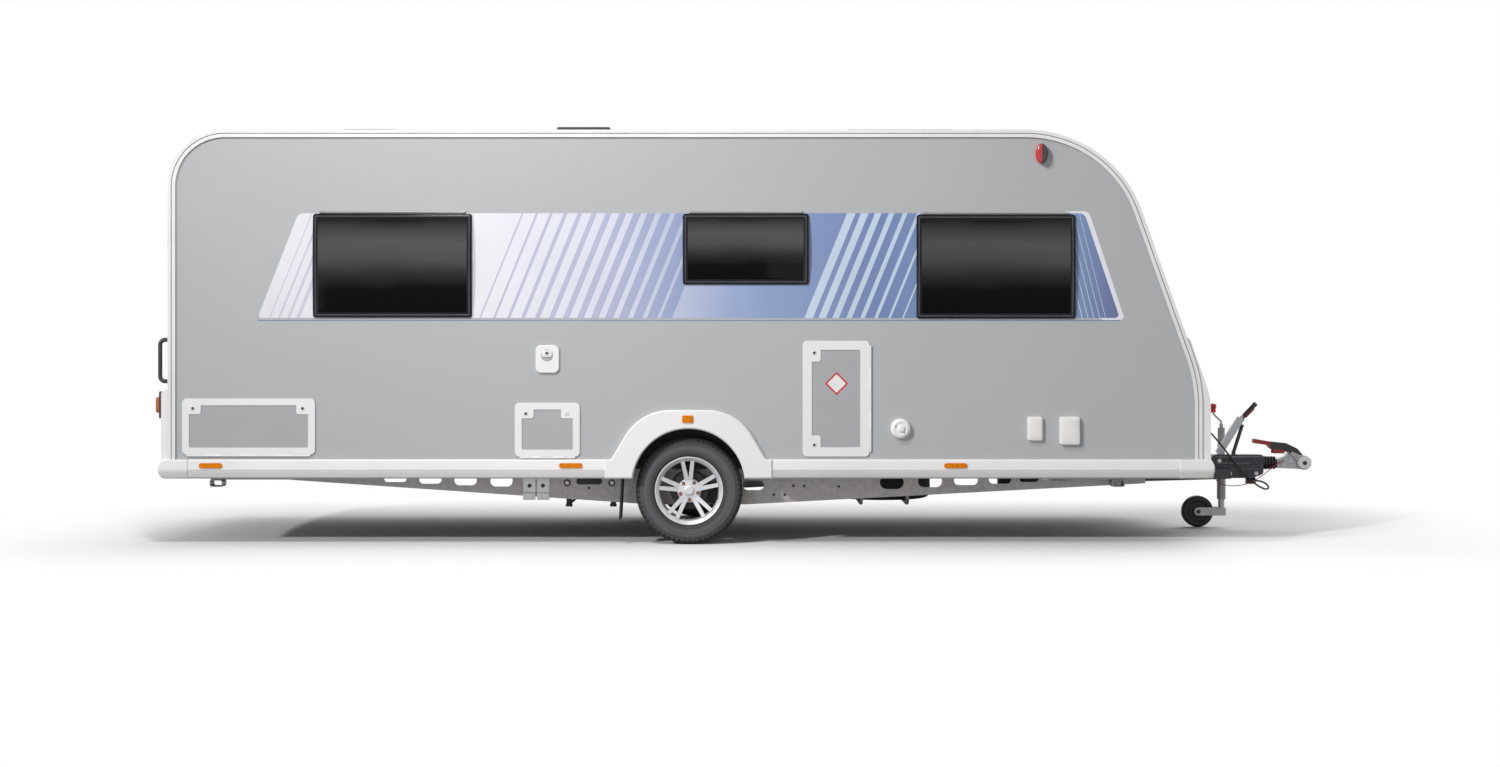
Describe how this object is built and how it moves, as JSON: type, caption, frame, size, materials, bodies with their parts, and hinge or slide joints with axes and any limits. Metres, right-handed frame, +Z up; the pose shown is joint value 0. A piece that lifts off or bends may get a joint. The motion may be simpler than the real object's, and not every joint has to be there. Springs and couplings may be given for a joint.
{
  "type": "touring caravan",
  "caption": "Single-axle touring caravan with aerodynamic front, side windows, service hatches, entrance door, corner steadies, overrun coupling and jockey wheel",
  "frame": {"origin": "on the ground below the middle of the overall length and width", "axes": "+X forward to the coupling, +Y to the left side, +Z up"},
  "size_m": [7.3996, 2.478, 2.624],
  "materials": {
    "body_white": "moulded gloss white",
    "wall_grey": "satin grey coated sheet",
    "rail_white": "white coated extrusion",
    "window_tint": "dark tinted acrylic",
    "frame_white": "white moulding",
    "curtain_cloth": "woven lining",
    "floor_board": "coated plywood",
    "box_black": "black moulding",
    "lamp_dark": "dark housing",
    "lens_red": "red lens",
    "lens_amber": "amber lens",
    "galvanised": "hot-dip zinc",
    "drawbar_dark": "dark blue-black paint",
    "cast_silver": "cast silver",
    "alloy": "painted silver alloy",
    "tyre_rubber": "road tyre",
    "rubber_black": "black rubber",
    "brake_iron": "dark cast iron",
    "cable_red": "red sheathed cable"
  },
  "bodies": {
    "caravan": {"amber_markers": "lens_amber", "awning_rails": "rail_white", "axle_beam": "galvanised", "bellows": "rubber_black", "breakaway_cable": "cable_red", "chassis_brackets": "galvanised", "chassis_rails": "galvanised", "corner_caps": "body_white", "coupling_head": "cast_silver", "cross_members": "galvanised", "curtains": "curtain_cloth", "drawbar": "drawbar_dark", "floor": "floor_board", "fridge_vents": "frame_white", "front_panel": "body_white", "front_windows": "window_tint", "gas_strut": "rubber_black", "grab_handles": "lamp_dark", "handbrake_lever": "galvanised", "jockey_outer_tube": "galvanised", "lamp_housings": "lamp_dark", "lamp_lenses": "lens_red", "mud_flaps": "rubber_black", "opening_frames": "frame_white", "overrun_housing": "drawbar_dark", "power_cable": "rubber_black", "power_plug": "rubber_black", "rear_panel": "body_white", "roof_panel": "body_white", "rooflights": "window_tint", "service_fittings": "frame_white", "side_skirts": "body_white", "side_wall_left": "wall_grey", "side_wall_right": "wall_grey", "side_windows": "window_tint", "spare_carrier": "galvanised", "spare_wheel": "tyre_rubber", "stabiliser_handle": "lamp_dark", "swing_arms": "brake_iron", "waste_pipes": "box_black", "wheel_arches": "body_white", "wheel_boxes": "box_black"},
    "wheel_left": {"tyre_left": "tyre_rubber", "rim_left": "alloy", "brake_drum_left": "brake_iron"},
    "wheel_right": {"tyre_right": "tyre_rubber", "rim_right": "alloy", "brake_drum_right": "brake_iron"},
    "jockey_leg": {"jockey_inner_tube": "galvanised"},
    "jockey_caster": {"jockey_fork": "galvanised"},
    "jockey_roller": {"jockey_wheel": "rubber_black"},
    "steady_rear_right": {"steady_rear_right": "galvanised"},
    "steady_rear_left": {"steady_rear_left": "galvanised"},
    "steady_front_right": {"steady_front_right": "galvanised"},
    "steady_front_left": {"steady_front_left": "galvanised"},
    "entrance_door": {"entrance_door": "frame_white", "door_window": "window_tint"},
    "gas_door": {"gas_door": "frame_white"},
    "locker_door": {"locker_door": "frame_white"},
    "service_door": {"service_door": "frame_white"}
  },
  "joints": [
    {"name": "wheel_left_spin", "type": "hinge", "parent": "caravan", "child": "wheel_left", "pos_m": [-0.40816, 1.05, 0.327], "axis": [0, 1, 0], "continuous": true},
    {"name": "wheel_right_spin", "type": "hinge", "parent": "caravan", "child": "wheel_right", "pos_m": [-0.40816, -1.05, 0.327], "axis": [0, 1, 0], "continuous": true},
    {"name": "jockey_lift", "type": "slide", "parent": "caravan", "child": "jockey_leg", "axis": [0, 0, 1], "range_m": [0, 0.05]},
    {"name": "jockey_swivel", "type": "hinge", "parent": "jockey_leg", "child": "jockey_caster", "pos_m": [3.14484, 0.15, 0.124], "axis": [0, 0, 1], "continuous": true},
    {"name": "jockey_wheel_spin", "type": "hinge", "parent": "jockey_caster", "child": "jockey_roller", "pos_m": [2.98184, 0.15, 0.105], "axis": [0, 1, 0], "continuous": true},
    {"name": "steady_rear_right_drop", "type": "hinge", "parent": "caravan", "child": "steady_rear_right", "pos_m": [-2.88816, -0.93, 0.402], "axis": [0, -1, 0], "range_deg": [0, 45]},
    {"name": "steady_rear_left_drop", "type": "hinge", "parent": "caravan", "child": "steady_rear_left", "pos_m": [-2.88816, 0.93, 0.402], "axis": [0, -1, 0], "range_deg": [0, 45]},
    {"name": "steady_front_right_drop", "type": "hinge", "parent": "caravan", "child": "steady_front_right", "pos_m": [1.79184, -0.93, 0.402], "axis": [0, 1, 0], "range_deg": [0, 45]},
    {"name": "steady_front_left_drop", "type": "hinge", "parent": "caravan", "child": "steady_front_left", "pos_m": [1.79184, 0.93, 0.402], "axis": [0, 1, 0], "range_deg": [0, 45]},
    {"name": "entrance_door_swing", "type": "hinge", "parent": "caravan", "child": "entrance_door", "pos_m": [0.78384, 1.2025, 1.4], "axis": [0, 0, -1], "range_deg": [0, 165]},
    {"name": "gas_door_swing", "type": "hinge", "parent": "caravan", "child": "gas_door", "pos_m": [0.69884, -1.2025, 0.89], "axis": [0, 0, 1], "range_deg": [0, 150]},
    {"name": "locker_door_drop", "type": "hinge", "parent": "caravan", "child": "locker_door", "pos_m": [-3.08816, -1.2025, 0.546], "axis": [1, 0, 0], "range_deg": [0, 100]},
    {"name": "service_door_drop", "type": "hinge", "parent": "caravan", "child": "service_door", "pos_m": [-1.26816, -1.2025, 0.534], "axis": [1, 0, 0], "range_deg": [0, 100]}
  ]
}
